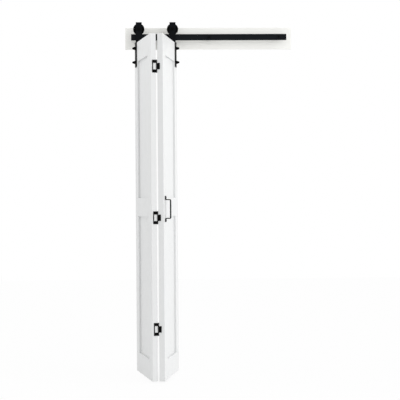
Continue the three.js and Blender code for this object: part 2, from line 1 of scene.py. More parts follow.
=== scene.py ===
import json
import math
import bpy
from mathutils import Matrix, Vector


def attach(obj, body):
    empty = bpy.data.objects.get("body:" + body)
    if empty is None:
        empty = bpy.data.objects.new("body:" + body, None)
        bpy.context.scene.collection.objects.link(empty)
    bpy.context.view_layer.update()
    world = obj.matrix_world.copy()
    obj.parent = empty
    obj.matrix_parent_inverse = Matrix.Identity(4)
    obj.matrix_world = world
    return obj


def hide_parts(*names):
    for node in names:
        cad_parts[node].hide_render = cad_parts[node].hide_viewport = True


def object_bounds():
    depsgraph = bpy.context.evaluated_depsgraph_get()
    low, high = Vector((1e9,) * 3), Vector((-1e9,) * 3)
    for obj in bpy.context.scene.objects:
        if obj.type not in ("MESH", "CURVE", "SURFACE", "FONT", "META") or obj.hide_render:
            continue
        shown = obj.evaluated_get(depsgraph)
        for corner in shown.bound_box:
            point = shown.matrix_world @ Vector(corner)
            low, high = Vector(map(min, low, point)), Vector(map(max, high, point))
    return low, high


bl_info = {
    "name": "Bifold Closet Door",
    "version": (1, 0, 0),
    "blender": (4, 5, 0),
    "location": "3D View > Sidebar > Bifold Door",
    "description": "Models and finishes a folding closet door, its hardware and its track",
    "category": "Object",
}

import bmesh
import bpy
from mathutils import Matrix, Vector

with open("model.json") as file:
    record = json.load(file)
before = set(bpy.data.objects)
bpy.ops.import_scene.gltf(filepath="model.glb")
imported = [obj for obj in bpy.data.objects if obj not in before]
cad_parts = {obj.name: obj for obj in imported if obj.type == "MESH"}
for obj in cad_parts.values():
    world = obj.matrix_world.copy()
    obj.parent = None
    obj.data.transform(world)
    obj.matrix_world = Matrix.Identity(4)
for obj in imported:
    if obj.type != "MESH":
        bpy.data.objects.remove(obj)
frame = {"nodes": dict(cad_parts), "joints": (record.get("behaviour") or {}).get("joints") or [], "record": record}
cad_low, cad_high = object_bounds()

MM = 0.001
SIDES = ("left", "right")
TRACK_POINTS = ("left", "middle", "right")
HINGE_LEVELS = ("upper", "middle", "lower")
PAIR_LEVELS = ("upper", "lower")
PANEL_BOARDS = (
    "pivot_stile", "hinge_stile", "top_rail", "middle_rail", "bottom_rail", "upper_panel", "lower_panel",
)

# How many steps make each kind of round
TURNED_STEPS = 64
WHEEL_STEPS = 128
HOLE_STEPS = 40
BEND_STEPS = 8
DOME_STEPS = 10
CAP_DOME_STEPS = 16
PIN_DOME_STEPS = 6
LEAF_CORNER_STEPS = 4
FOOT_CORNER_STEPS = 5
EDGE_STEPS = 3
FINE_EDGE_STEPS = 2
HEXAGON_SIDES = 6
# The clearance that neighbours keep
PLAY = 0.3 * MM
# Points nearer than this are one point, and cutters pass this far through what they cut
WELD = 0.002 * MM
OVERRUN = 2 * MM
# Edges that turn by more than this are eased, and are shaded sharp where nothing eases them
SHARP = math.radians(33)
# Faces that turn by less than this are one flat face
FLAT = math.radians(0.5)
# Where a hexagon's chamfer starts, as a share of its width across flats, and how steep it is
CHAMFER_SHARE = 0.47
CHAMFER_SLOPE = math.radians(30)
# The width of the cutter that chamfers a hexagon, as a share of the hexagon's over its corners
CUTTER_SHARE = 1.1
# The domed share of a low head's height, above its upright rim
DOME_SHARE = 0.75
# A thread's depth, then where a turn's crest ends, its root lies and the next crest starts, and the
# length and depth of the chamfer at the thread's end, all as shares of the pitch
THREAD_DEPTH_SHARE = 0.6
THREAD_TURN_SHARES = (0.1, 0.5, 0.9)
THREAD_END_SHARES = (0.2, 0.4)
# The crimp round a bearing's shield, as a share of the ring's wall and of the shield's depth
CRIMP_SHARE = 1 / 3
# How near to its far end the height of a leaf's plate is measured
LEAF_END = 4 * MM

# A piece is made standing on Z and then laid along Y, towards the wall or away from it, or along X.
TO_WALL = Matrix.Rotation(-math.pi / 2, 4, "X")
FROM_WALL = Matrix.Rotation(math.pi / 2, 4, "X")
TO_RIGHT = Matrix.Rotation(math.pi / 2, 4, "Y")
TO_LEFT = Matrix.Rotation(-math.pi / 2, 4, "Y")
IN_PLACE = Matrix.Identity(4)


# Places taken from the frame


def joint(name):
    return next(j for j in frame["joints"] if j["name"] == name)


# How far each parked panel has turned from closed, and each carriage's pivot
PARKED_TURN = -math.radians(joint("left_panel_swing")["range_deg"][0])
PIVOTS = {
    "left": joint("left_panel_swing")["pos_m"],
    "right": joint("right_hanger_swivel")["pos_m"],
}


def at(x, y, z):
    return Matrix.Translation((x, y, z))


def hung_at(side, turn=0.0):
    """From a frame with its origin on a carriage's pivot to that frame's place at rest."""
    x, y, _ = PIVOTS[side]
    return at(x, y, 0) @ Matrix.Rotation(turn, 4, "Z")


# Each body's own straight frame. A panel's is that of the closed door.
PLACES = {
    "track": IN_PLACE,
    "left_panel": hung_at("left", -PARKED_TURN),
    "right_panel": hung_at("right", PARKED_TURN),
    **{f"{side}_{part}": hung_at(side) for side in SIDES for part in ("hanger", "wheel")},
}
BODIES = frame["record"]["behaviour"]["bodies"]
BODY_OF = {node: body for body, nodes in BODIES.items() for node in nodes}


def straight_points(node):
    """A CAD node's points in its body's straight frame."""
    back = PLACES[BODY_OF[node]].inverted()
    return [back @ v.co for v in frame["nodes"][node].data.vertices]


def straight_box(node):
    """The lowest and highest corner of a CAD node in its body's straight frame."""
    points = straight_points(node)
    return tuple(Vector([pick(p[i] for p in points) for i in range(3)]) for pick in (min, max))


def middle_of(node):
    low, high = straight_box(node)
    return (low + high) / 2


def span_of(node):
    low, high = straight_box(node)
    return high - low


def from_front(node):
    """Where a piece made on Z starts at a node's front end and points to the wall."""
    x, _, z = middle_of(node)
    return at(x, straight_box(node)[0].y, z) @ TO_WALL


def from_back(node):
    """Where a piece made on Z starts at a node's back end and points away from the wall."""
    x, _, z = middle_of(node)
    return at(x, straight_box(node)[1].y, z) @ FROM_WALL


def linear(code):
    """A colour written as sRGB hex, as the linear values that shaders use."""
    channels = [int(code[i : i + 2], 16) / 255 for i in (0, 2, 4)]
    return tuple(c / 12.92 if c <= 0.04045 else ((c + 0.055) / 1.055) ** 2.4 for c in channels)


# Settings


def length(name, description, millimetres):
    size = millimetres * MM
    return bpy.props.FloatProperty(
        name=name, description=description, default=size, min=0, subtype="DISTANCE", unit="LENGTH"
    )


def colour(name, description, code):
    return bpy.props.FloatVectorProperty(
        name=name, description=description, default=linear(code), min=0, max=1, subtype="COLOR", size=3
    )


class BifoldWoodSizes(bpy.types.PropertyGroup):
    """Sizes of the finished woodwork."""

    edge: length("Edge", "How far the painted edges are sanded round", 0.6)
    stipple: length("Stipple", "Spacing of the roller's stipple in the paint", 1.4)
    film: length("Film waves", "Spacing of the slow waves in the paint's film", 45)


class BifoldTrackSizes(bpy.types.PropertyGroup):
    """Sizes of the track and its fixings."""

    edge: length("Edge", "Radius of the track's edges", 0.7)
    bolt_head: length("Bolt head", "Thickness of a lag bolt's head", 5)
    bolt_shank: length("Bolt shank", "Diameter of a lag bolt's shank", 8)
    bolt_tip: length("Bolt tip", "Length of a lag bolt's point", 4)
    socket_flats: length("Socket", "Width across a lag bolt's hexagon socket", 6)
    socket_depth: length("Socket depth", "Depth of a lag bolt's hexagon socket", 3)


class BifoldCarriageSizes(bpy.types.PropertyGroup):
    """Sizes of the hangers, wheels, bearings and pivots."""

    stock: length("Hanger stock", "Thickness of the hanger's flat bar", 6)
    bend: length("Hanger bend", "Inside radius of the hanger's bend", 3)
    corner: length("Hanger corner", "How far the hanger's corners are cut", 1)
    edge: length("Edge", "Radius of the hanger's edges", 0.6)
    tread: length("Tread", "Diameter of the wheel's tread", 64)
    groove_floor: length("Groove floor", "Width of the wheel's groove at its floor", 8)
    groove_mouth: length("Groove mouth", "Width of the wheel's groove at its mouth", 13)
    rim: length("Rim", "Depth of the wheel's rim", 8)
    web: length("Web", "Thickness of the wheel between rim and hub", 14)
    hub: length("Hub", "Diameter of the wheel's hub", 34)
    hub_length: length("Hub length", "Length of the wheel's hub", 18)
    seat: length("Bearing seat", "Diameter of the wheel's seat for its bearing", 22.6)
    axle: length("Axle shoulder", "Diameter of the axle bolt's shoulder", 12)
    stem: length("Axle stem", "Diameter of the axle bolt's stem", 8)
    thread: length("Thread pitch", "Pitch of the axle bolt's thread", 1.25)
    bolt_flats: length("Bolt flats", "Width across the axle bolt's head", 19)
    bolt_head: length("Bolt head", "Thickness of the axle bolt's head", 6)
    nut_flats: length("Nut flats", "Width across the axle nut", 13)
    pin: length("Pivot pin", "Diameter of the pivot pin", 12)
    pin_head: length("Pin head", "Thickness of the pivot pin's head", 6)


class BifoldStrapSizes(bpy.types.PropertyGroup):
    """Sizes of the face straps, their bolts and their cap nuts."""

    stock: length("Strap stock", "Thickness of the face strap's flat bar", 5)
    bend: length("Strap bend", "Inside radius where the strap turns over the door's top", 0.8)
    corner: length("Strap corner", "How far the strap's lower corners are cut", 3)
    edge: length("Edge", "Radius of the strap's edges", 0.5)
    pin_hole: length("Pin hole", "Diameter of the strap's pivot hole", 12.6)
    shank: length("Bolt shank", "Diameter of a through bolt", 10)
    head: length("Bolt head", "Height of a through bolt's round head", 5)
    flange: length("Nut flange", "Thickness of a cap nut's flange", 3)
    flats: length("Nut flats", "Width across a cap nut", 17)
    hexagon: length("Nut hexagon", "Height of a cap nut's hexagon", 8)
    dome: length("Nut dome", "Diameter of a cap nut's dome", 16)
    bore: length("Nut bore", "Depth of a cap nut's bore", 12)


class BifoldHingeSizes(bpy.types.PropertyGroup):
    """Sizes of the hinges and their screws."""

    stock: length("Leaf stock", "Thickness of a hinge leaf", 2.2)
    corner: length("Leaf corner", "Radius of a hinge leaf's corners", 2)
    edge: length("Edge", "Radius of a leaf's edges", 0.25)
    bar: length("Frame bar", "Width of the frame leaf's bar beside its opening", 5)
    knuckle: length("Knuckle", "Length of the frame leaf's knuckles", 18.8)
    pin: length("Pin", "Diameter of the hinge pin", 4)
    pin_head: length("Pin head", "Thickness of the hinge pin's heads", 1.4)
    screw_hole: length("Screw hole", "Diameter of a screw hole", 4.4)
    sink: length("Countersink", "Diameter of a countersink", 8)
    screw_head: length("Screw head", "Diameter of a hinge screw's flat head", 7.6)
    screw_shank: length("Screw shank", "Diameter of a hinge screw", 3.6)
    screw_length: length("Screw length", "Length of a hinge screw", 16)
    tab_screws: length("Tab screws", "Distance between the tab leaf's two screws", 20)


class BifoldPullSizes(bpy.types.PropertyGroup):
    """Sizes of the pull handle and its screws."""

    stock: length("Pull stock", "Thickness of the pull's flat strip", 6)
    bend: length("Pull bend", "Inside radius of the pull's bends", 3)
    corner: length("Foot corner", "Radius of the corners of the pull's feet", 3)
    edge: length("Edge", "Radius of the pull's edges", 0.5)
    span: length("Span", "Distance between the pull's two arms", 115)
    screw_shank: length("Screw shank", "Diameter of a pull screw", 4)
    head: length("Screw head", "Height of a pull screw's pan head", 2.4)


class BifoldColours(bpy.types.PropertyGroup):
    """Colours of the finishes."""

    paint: colour("Door paint", "Satin paint on the two panels", "e5e6e6")
    # Painted light: the board's paint is a warmer white than the door's, and is set near full white to make up for
    # the shade that the track throws on the board.
    lightened_board_paint: colour("Board paint", "Satin paint on the header board", "fffffb")
    track_coat: colour("Track coat", "Powder coat on the track", "121519")
    hanger_coat: colour("Hanger coat", "Powder coat on the hangers and their pivots", "0b0e11")
    hardware_coat: colour("Hardware coat", "Black coat on the hinges, straps, bolts and pull", "080808")
    nylon: colour("Nylon", "Nylon of the track wheels", "070809")
    steel: colour("Steel", "Ground steel of the bearings and washers", "b2b5b9")
    floor: colour("Floor", "The studio floor", "fafafa")


# Materials


# A soft noise stays mostly between these values
NOISE_LOW, NOISE_HIGH = 0.3, 0.7
# A fine noise has this much detail
FINE_DETAIL = 3.0
# A wave texture of scale 1 has a ring every so many units
WAVE_RING = math.pi / 10


def add_node(tree, kind, inputs=None, **settings):
    """Adds a node with its settings. Each input gets a value, the socket that feeds it, or the node
    whose first output does."""
    node = tree.nodes.new(kind)
    for name, value in settings.items():
        setattr(node, name, value)
    for key, value in (inputs or {}).items():
        if isinstance(value, bpy.types.Node):
            value = value.outputs[0]
        if isinstance(value, bpy.types.NodeSocket):
            tree.links.new(value, node.inputs[key])
        else:
            node.inputs[key].default_value = value
    return node


def new_material(name):
    material = bpy.data.materials.new(name)
    material.use_nodes = True
    material.node_tree.nodes.clear()
    return material, material.node_tree


def opaque(rgb):
    return (*rgb, 1.0)


def start_pattern(name, cloud_spacing, centre=(0, 0, 0)):
    """A new material's tree, with its places in metres from a centre and a soft cloud over them."""
    _, tree = new_material(name)
    place = add_node(tree, "ShaderNodeTexCoord").outputs["Object"]
    place = add_node(tree, "ShaderNodeMapping", {"Vector": place, "Location": [-c for c in centre]})
    cloud = add_node(tree, "ShaderNodeTexNoise", {"Vector": place, "Scale": 1 / cloud_spacing})
    return tree, place, cloud


def turned_rings(tree, place, spacing, depth):
    """The relief of rings round the Y axis through the pattern's centre. Those that a lathe or a
    grinding wheel leaves are too fine to show, so they are drawn coarser."""
    inputs = {"Vector": place, "Scale": WAVE_RING / spacing, "Distortion": 0.4, "Detail": 1.0}
    rings = add_node(
        tree, "ShaderNodeTexWave", inputs, wave_type="RINGS", rings_direction="Y", wave_profile="SIN"
    )
    return add_node(tree, "ShaderNodeBump", {"Height": rings.outputs["Fac"], "Distance": depth})


def close_material(tree, cloud, tone, fade, rough, **inputs):
    """The surface and its output. Its colour darkens by up to a share where a cloud is dense, and its
    roughness goes from one value to another with the same cloud."""
    dark = [c * (1 - fade) for c in tone]
    base = add_node(tree, "ShaderNodeMix", {0: cloud, 6: opaque(tone), 7: opaque(dark)}, data_type="RGBA")
    span = {"From Min": NOISE_LOW, "From Max": NOISE_HIGH, "To Min": rough[0], "To Max": rough[1]}
    roughness = add_node(tree, "ShaderNodeMapRange", {"Value": cloud, **span})
    named = {key.replace("_", " "): value for key, value in inputs.items()}
    named.update({"Base Color": base.outputs[2], "Roughness": roughness})
    shader = add_node(tree, "ShaderNodeBsdfPrincipled", named)
    add_node(tree, "ShaderNodeOutputMaterial", {"Surface": shader})


def satin_paint(name, tone):
    """Satin alkyd paint rolled over primed wood: an even white with a low sheen. The roller leaves a
    fine stipple, and the film lies in slow waves that break up its highlights."""
    film_depth, stipple_depth = 0.15 * MM, 0.02 * MM
    sizes = bpy.context.scene.bifold_wood
    tree, place, film = start_pattern(name, sizes.film)
    fine = {"Vector": place, "Scale": 1 / sizes.stipple, "Detail": FINE_DETAIL}
    stipple = add_node(tree, "ShaderNodeTexNoise", fine)
    waves = add_node(tree, "ShaderNodeBump", {"Height": film, "Distance": film_depth})
    inputs = {"Height": stipple, "Distance": stipple_depth, "Normal": waves}
    relief = add_node(tree, "ShaderNodeBump", inputs)
    close_material(tree, film, tone, 0.025, (0.38, 0.46), IOR=1.5, Normal=relief)


def black_powder_coat(name, tone, grain, roughness, gloss):
    """Matte black polyester powder, sprayed dry and baked: an even, slightly pebbled skin with a soft
    wide highlight, and no brush or grinding marks."""
    cloud_spacing, pebble_depth, spread = 24 * MM, 0.04 * MM, 0.05
    tree, place, cloud = start_pattern(name, cloud_spacing)
    fine = {"Vector": place, "Scale": 1 / grain, "Detail": FINE_DETAIL}
    pebble = add_node(tree, "ShaderNodeTexNoise", fine)
    relief = add_node(tree, "ShaderNodeBump", {"Height": pebble, "Distance": pebble_depth})
    rough = (roughness - spread, roughness + spread)
    close_material(tree, cloud, tone, 0.2, rough, Specular_IOR_Level=gloss, Normal=relief)


def turned_nylon(name, tone, centre):
    """Black nylon bar turned to a wheel: a dull, faintly waxy skin with the tool's fine rings."""
    wax_spacing, ring_spacing, ring_depth = 9 * MM, 0.8 * MM, 0.02 * MM
    tree, place, wax = start_pattern(name, wax_spacing, centre)
    relief = turned_rings(tree, place, ring_spacing, ring_depth)
    close_material(tree, wax, tone, 0.15, (0.42, 0.52), Specular_IOR_Level=0.045, Normal=relief)


def ground_steel(name, tone, centre):
    """Chrome steel, hardened and ground: a bright grey metal with fine rings from the wheel."""
    oil_spacing, ring_spacing, ring_depth = 6 * MM, 0.3 * MM, 0.006 * MM
    tree, place, oil = start_pattern(name, oil_spacing, centre)
    relief = turned_rings(tree, place, ring_spacing, ring_depth)
    close_material(tree, oil, tone, 0.1, (0.24, 0.34), Metallic=1.0, Normal=relief)


def finish(slot, maker, name, *settings):
    """A material, made only once, with a slot's name beside it."""
    if name not in bpy.data.materials:
        maker(name, *settings)
    return bpy.data.materials[name], slot


def tones():
    return bpy.context.scene.bifold_colours


def door_paint():
    return finish("white_paint", satin_paint, "Satin alkyd door paint", tones().paint)


# Painted light: the header board's satin paint is set lighter than the door's to make up for the shade behind the
# track.
def lightened_board_paint():
    return finish("white_paint", satin_paint, "Satin alkyd board paint", tones().lightened_board_paint)


def black_coat(name, tone, grain, roughness, gloss):
    return finish("black_coat", black_powder_coat, name, tone, grain, roughness, gloss)


def track_coat():
    return black_coat("Black powder coat", tones().track_coat, grain=0.9 * MM, roughness=0.5, gloss=0.08)


def hanger_coat():
    return black_coat("Black hanger coat", tones().hanger_coat, grain=0.9 * MM, roughness=0.5, gloss=0.065)


def hardware_coat():
    tone = tones().hardware_coat
    return black_coat("Black hardware coat", tone, grain=0.6 * MM, roughness=0.44, gloss=0.05)


def wheel_nylon(side, centre):
    return finish("black_nylon", turned_nylon, f"Turned nylon {side}", tones().nylon, centre)


def bright_steel(piece, centre):
    return finish("bright_steel", ground_steel, f"Ground steel {piece}", tones().steel, centre)


# Modelling


def select_only(*pieces):
    """Leaves edit mode, and selects these pieces and nothing else."""
    if bpy.context.object and bpy.context.object.mode == "EDIT":
        bpy.ops.object.mode_set(mode="OBJECT")
    bpy.ops.object.select_all(action="DESELECT")
    for piece in pieces:
        piece.select_set(True)
    bpy.context.view_layer.objects.active = pieces[0] if pieces else None


def edit_all():
    """Goes into edit mode with the whole mesh selected."""
    bpy.ops.object.mode_set(mode="EDIT")
    bpy.ops.mesh.select_all(action="SELECT")


def start_plane(name):
    """A new piece of one square face, left in edit mode with all of it selected."""
    select_only()
    bpy.ops.mesh.primitive_plane_add(size=1)
    piece = bpy.context.object
    piece.name = piece.data.name = name
    edit_all()
    bpy.ops.mesh.select_mode(type="VERT")
    return piece


def close_seams():
    """Merges the doubles, turns every face outwards and leaves edit mode."""
    bpy.ops.mesh.select_all(action="SELECT")
    bpy.ops.mesh.remove_doubles(threshold=WELD)
    bpy.ops.mesh.dissolve_degenerate(threshold=WELD)
    bpy.ops.mesh.normals_make_consistent(inside=False)
    bpy.ops.object.mode_set(mode="OBJECT")


def extrude(x, y, z):
    bpy.ops.mesh.extrude_region_move(TRANSFORM_OT_translate={"value": (x, y, z)})


def turned(name, profile, steps=TURNED_STEPS):
    """A piece turned round Z. Its (radius, height) points start and end on the axis, or go all the
    way round a bored piece's section and back to the first point."""
    piece = start_plane(name)
    bpy.ops.mesh.merge(type="CENTER")
    radius, height = profile[0]
    bpy.ops.transform.translate(value=(radius, 0, height))
    for next_radius, next_height in profile[1:]:
        extrude(next_radius - radius, 0, next_height - height)
        radius, height = next_radius, next_height
    bpy.ops.mesh.select_all(action="SELECT")
    bpy.ops.mesh.spin(steps=steps, angle=math.tau, center=(0, 0, 0), axis=(0, 0, 1))
    close_seams()
    return piece


def dome(radius, base, rise, steps=DOME_STEPS):
    """A turned profile's points over a dome, from its rim to its top on the axis."""
    turns = [math.pi / 2 * i / steps for i in range(steps)]
    return [*((radius * math.cos(t), base + rise * math.sin(t)) for t in turns), (0, base + rise)]


def low_head(radius, seat, rise, steps=DOME_STEPS):
    """A turned profile's points over a head with an upright rim and a low dome."""
    return [(radius, seat), *dome(radius, seat + rise * (1 - DOME_SHARE), rise * DOME_SHARE, steps)]


def bent_strip(name, width, stock, bend_radius, route):
    """A flat strip, bent at each turn of its middle line. The line's (y, z) points start along Z."""
    piece = start_plane(name)
    bpy.ops.transform.resize(value=(width, stock, 1), center_override=(0, 0, 0))
    route = [Vector(point) for point in route]
    radius = bend_radius + stock / 2
    tip = route[0]
    bpy.ops.transform.translate(value=(0, *tip))
    for before, corner, after in zip(route, route[1:], route[2:]):
        way, onward = (corner - before).normalized(), (after - corner).normalized()
        turn = math.atan2(way.cross(onward), way.dot(onward))
        back = radius * math.tan(abs(turn) / 2)
        run = corner - way * back - tip
        extrude(0, *run)
        centre = tip + run + Vector((-way.y, way.x)) * math.copysign(radius, turn)
        # Spin turns the other way from the right-hand rule.
        bpy.ops.mesh.spin(steps=BEND_STEPS, angle=-turn, center=(0, *centre), axis=(1, 0, 0))
        tip = corner + onward * back
    extrude(0, *(route[-1] - tip))
    close_seams()
    return piece


def block(name, low, high):
    """A squared block of stock between two corners."""
    select_only()
    bpy.ops.mesh.primitive_cube_add(size=1)
    piece = bpy.context.object
    piece.name = piece.data.name = name
    low, high = Vector(low), Vector(high)
    edit_all()
    bpy.ops.transform.resize(value=high - low, center_override=(0, 0, 0))
    bpy.ops.transform.translate(value=(low + high) / 2)
    bpy.ops.object.mode_set(mode="OBJECT")
    return piece


def rod(radius, start, end, sides=HOLE_STEPS):
    """A round or many-sided rod between two points, mostly used as a drill."""
    start, end = Vector(start), Vector(end)
    way = end - start
    select_only()
    bpy.ops.mesh.primitive_cylinder_add(vertices=sides, radius=radius, depth=way.length)
    bar = bpy.context.object
    turn = way.to_track_quat("Z", "Y").to_matrix().to_4x4()
    bar.matrix_world = at(*((start + end) / 2)) @ turn
    bpy.ops.object.transform_apply(location=True, rotation=True, scale=True)
    return bar


def apply_modifier(piece, name, kind, **settings):
    """Adds a modifier to a piece and applies it."""
    select_only(piece)
    step = piece.modifiers.new(name, kind)
    for setting, value in settings.items():
        setattr(step, setting, value)
    bpy.ops.object.modifier_apply(modifier=step.name)


def combine(piece, tool, operation):
    """Joins, cuts or trims a piece by another mesh, which is used up."""
    apply_modifier(piece, "Tool", "BOOLEAN", operation=operation, solver="EXACT", object=tool)
    put_away(tool)


def drill(piece, radius, start, end):
    combine(piece, rod(radius, start, end), "DIFFERENCE")


def near(value, target):
    return abs(value - target) < WELD


def round_corners(piece, radius, steps=1, y=None, **away):
    """Bevels the edges that lie this far to either side of nought along X or Z and, where it is given,
    at this Y. One step cuts them flat."""
    select_only(piece)
    bpy.ops.object.mode_set(mode="EDIT")
    bpy.ops.mesh.select_mode(type="EDGE")
    bpy.ops.mesh.select_all(action="DESELECT")
    mesh = bmesh.from_edit_mesh(piece.data)

    def chosen(p):
        sides = all(near(abs(getattr(p, axis)), abs(reach)) for axis, reach in away.items())
        return sides and (y is None or near(p.y, y))

    picked = [e for e in mesh.edges if all(chosen(v.co) for v in e.verts)]
    if not picked:
        raise RuntimeError(f"{piece.name} has no corner to round there")
    for e in picked:
        e.select_set(True)
    bmesh.update_edit_mesh(piece.data)
    bpy.ops.mesh.bevel(offset=radius, segments=steps, affect="EDGES")
    bpy.ops.object.mode_set(mode="OBJECT")


def ease(piece, radius, steps=EDGE_STEPS):
    """Rounds every sharp edge that is left, and gives the piece back."""
    limit = {"limit_method": "ANGLE", "angle_limit": SHARP}
    apply_modifier(piece, "Eased edges", "BEVEL", width=radius, segments=steps, **limit)
    return piece


def tube(name, bore, outer, bottom, top, edge):
    """A bored ring that stands on Z, with its edges eased."""
    ring = turned(name, [(bore, bottom), (outer, bottom), (outer, top), (bore, top), (bore, bottom)])
    return ease(ring, edge)


def hexagon(flats, bottom, top, chamfer_bottom=False):
    """A hexagon bar's length with two corners along Y. Its top is chamfered as on a bolt or nut, and
    its bottom too where asked."""
    corner = flats / math.sqrt(3)
    bar = rod(corner, (0, 0, bottom), (0, 0, top), HEXAGON_SIDES)
    face, wide = flats * CHAMFER_SHARE, corner * CUTTER_SHARE
    drop = (wide - face) * math.tan(CHAMFER_SLOPE)
    low_end = [(0, bottom - OVERRUN), (wide, bottom - OVERRUN)]
    if chamfer_bottom:
        low_end = [(0, bottom), (face, bottom), (wide, bottom + drop)]
    combine(bar, turned("chamfer", [*low_end, (wide, top - drop), (face, top), (0, top)]), "INTERSECT")
    return bar


def threaded(radius, start, end, pitch):
    """A turned profile's points along a thread, from its start to its end."""
    root = radius - THREAD_DEPTH_SHARE * pitch
    crest_end, middle, crest_start = (pitch * share for share in THREAD_TURN_SHARES)
    tip_length, tip_depth = (pitch * share for share in THREAD_END_SHARES)
    points = []
    for i in range(int((end - start) / pitch)):
        turn = start + pitch * i
        points += [(radius, turn + crest_end), (root, turn + middle), (radius, turn + crest_start)]
    return [*points, (radius, end - tip_length), (radius - tip_depth, end)]


def cross_recess(screw, top):
    """Cuts the recess for a cross-head driver down from a screw's top."""
    width, slot, depth = 4.2 * MM, 0.9 * MM, 1.2 * MM
    for x, y in ((width / 2, slot / 2), (slot / 2, width / 2)):
        tool = block("recess", (-x, -y, top - depth), (x, y, top + OVERRUN))
        combine(screw, tool, "DIFFERENCE")


def fit_copy(pattern, name, body, place, finished):
    """Puts a copy of a modelled piece on its body, finished. The place is in the body's straight
    frame."""
    material, slot = finished
    select_only(pattern)
    bpy.ops.object.duplicate(linked=False)
    piece = bpy.context.object
    piece.name = piece.data.name = name
    piece.matrix_world = PLACES[body] @ place
    bpy.ops.object.transform_apply(location=True, rotation=True, scale=True)
    bpy.ops.object.shade_smooth_by_angle(angle=SHARP)
    piece.data.materials.clear()
    piece.data.materials.append(material)
    apply_modifier(piece, "Flat faces", "WEIGHTED_NORMAL", keep_sharp=True)
    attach(piece, body)
    return piece


def stand_in(pattern, node, place, finished, ending="steel"):
    """Puts a copy of a modelled piece, finished, instead of the CAD node that it stands for."""
    piece = fit_copy(pattern, f"{node}_{ending}", BODY_OF[node], place, finished)
    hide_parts(node)


def put_away(*patterns):
    """Removes tools that have cut, and patterns whose copies are all in place."""
    select_only(*patterns)
    bpy.ops.object.delete()


# Track


def rail_bar(sizes):
    low, high = straight_box("track_rail")
    bar = block("rail", low, high)
    radius = sizes.bolt_shank / 2 + PLAY
    for point in TRACK_POINTS:
        x, _, z = middle_of(f"{point}_lag_bolt")
        drill(bar, radius, (x, low.y - OVERRUN, z), (x, high.y + OVERRUN, z))
    return ease(bar, sizes.edge)


def spacer_tube(sizes):
    """A tube that stands on Z from nought to its length."""
    span = span_of("middle_rail_spacer")
    return tube("spacer", sizes.bolt_shank / 2 + PLAY, span.x / 2, 0, span.y, sizes.edge)


def lag_bolt(sizes):
    """A lag bolt that stands on Z: its head's face is at nought and its point is up."""
    span = span_of("middle_lag_bolt")
    head, shank = span.x / 2, sizes.bolt_shank / 2
    bolt = turned("lag bolt", [
        (0, 0), (head, 0), (head, sizes.bolt_head), (shank, sizes.bolt_head),
        (shank, span.y - sizes.bolt_tip), (0, span.y),
    ])
    corner = sizes.socket_flats / math.sqrt(3)
    socket = rod(corner, (0, 0, -OVERRUN), (0, 0, sizes.socket_depth), HEXAGON_SIDES)
    combine(bolt, socket, "DIFFERENCE")
    return ease(bolt, sizes.edge)


class BIFOLD_OT_make_track(bpy.types.Operator):
    """Make the track with its spacers and lag bolts"""

    bl_idname = "bifold.make_track"
    bl_label = "Track"

    def execute(self, context):
        sizes = context.scene.bifold_track
        bar, spacer, bolt = rail_bar(sizes), spacer_tube(sizes), lag_bolt(sizes)
        stand_in(bar, "track_rail", IN_PLACE, track_coat(), "bar")
        for point in TRACK_POINTS:
            spacer_node, bolt_node = f"{point}_rail_spacer", f"{point}_lag_bolt"
            stand_in(spacer, spacer_node, from_front(spacer_node), track_coat())
            # Painted shade: the lag bolts take the darker hardware coat rather than the track's, standing in for
            # the shade in their sockets.
            stand_in(bolt, bolt_node, from_front(bolt_node), hardware_coat())
        put_away(bar, spacer, bolt)
        return {"FINISHED"}


# Carriages


# How far the edges of an axle bolt and its nut are rounded
AXLE_EDGE = 0.15 * MM


def hanger_bar(sizes):
    """The hanger's strap with its foot, in the carriage's frame."""
    low, high = straight_box("left_hanger_strap")
    middle, foot = low.y + sizes.stock / 2, low.z + sizes.stock / 2
    half = (high.x - low.x) / 2
    route = [(middle, high.z), (middle, foot), (high.y, foot)]
    bar = bent_strip("hanger", 2 * half, sizes.stock, sizes.bend, route)
    round_corners(bar, sizes.corner, x=half, z=high.z)
    round_corners(bar, sizes.corner, x=half, y=high.y)
    axle_height = middle_of("left_track_wheel").z
    axle_hole, pin_hole, reach = sizes.axle / 2 + PLAY, sizes.pin / 2 + PLAY, sizes.stock + OVERRUN
    drill(bar, axle_hole, (0, middle - reach, axle_height), (0, middle + reach, axle_height))
    drill(bar, pin_hole, (0, 0, foot - reach), (0, 0, foot + reach))
    return ease(bar, sizes.edge)


def pivot_pin(sizes):
    """The pivot pin on the carriage's own Z."""
    low, high = straight_box("left_pivot_pin")
    rivet, rise = 8.5 * MM, 1.4 * MM
    head, pin = (high.x - low.x) / 2, sizes.pin / 2
    neck, seat = low.z + sizes.pin_head, high.z - rise
    body = turned("pivot pin", [
        (0, low.z), (head, low.z), (head, neck), (pin, neck), (pin, seat),
        *dome(rivet, seat, rise),
    ])
    return ease(body, sizes.edge)


def thrust_washer(sizes):
    low, high = straight_box("left_thrust_washer")
    edge = 0.3 * MM
    return tube("washer", sizes.pin / 2 + PLAY, (high.x - low.x) / 2, low.z, high.z, edge)


class BIFOLD_OT_make_hangers(bpy.types.Operator):
    """Make both hanger straps with their pivot pins and thrust washers"""

    bl_idname = "bifold.make_hangers"
    bl_label = "Hangers"

    def execute(self, context):
        sizes = context.scene.bifold_carriage
        bar, pin, washer = hanger_bar(sizes), pivot_pin(sizes), thrust_washer(sizes)
        for side in SIDES:
            steel = bright_steel(f"washer {side}", PLACES[f"{side}_hanger"].translation)
            stand_in(bar, f"{side}_hanger_strap", IN_PLACE, hanger_coat())
            stand_in(pin, f"{side}_pivot_pin", IN_PLACE, hanger_coat())
            stand_in(washer, f"{side}_thrust_washer", IN_PLACE, steel)
        put_away(bar, pin, washer)
        return {"FINISHED"}


